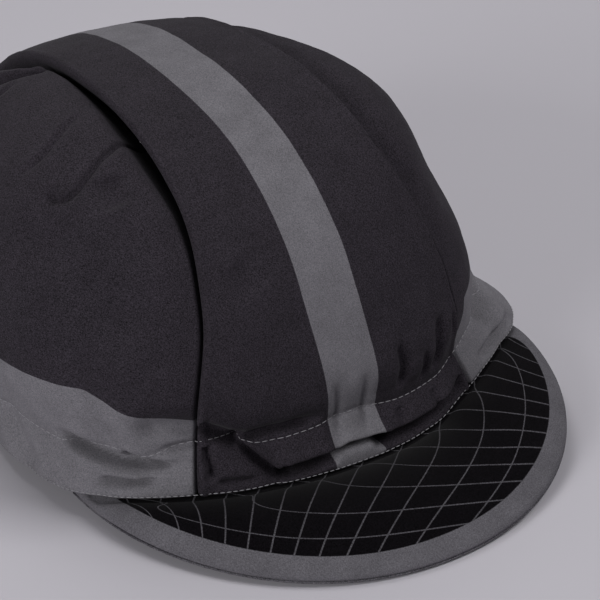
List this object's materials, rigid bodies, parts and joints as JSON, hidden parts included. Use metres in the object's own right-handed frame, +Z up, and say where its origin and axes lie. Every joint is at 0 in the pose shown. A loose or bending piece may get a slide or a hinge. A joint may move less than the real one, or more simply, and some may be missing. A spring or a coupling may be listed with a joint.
{
  "type": "cycling cap",
  "caption": "Soft cotton cycling cap with a long panel from peak to back, side panels, a turned-up hem and a short peak.",
  "frame": {"origin": "on the surface that the cap rests on, below the middle of its outline", "axes": "+Z up, -Y towards the tip of the peak, +X towards the wearer's left"},
  "size_m": [0.1634, 0.2414, 0.0997],
  "materials": {
    "crown_cloth": "matt cotton twill",
    "peak_cloth": "matt cotton twill",
    "under_cloth": "matt cotton twill"
  },
  "bodies": {
    "root": {"centre_panel": "crown_cloth", "side_panel_right": "crown_cloth", "side_panel_left": "crown_cloth", "peak_top": "peak_cloth", "peak_under": "under_cloth"}
  },
  "joints": []
}
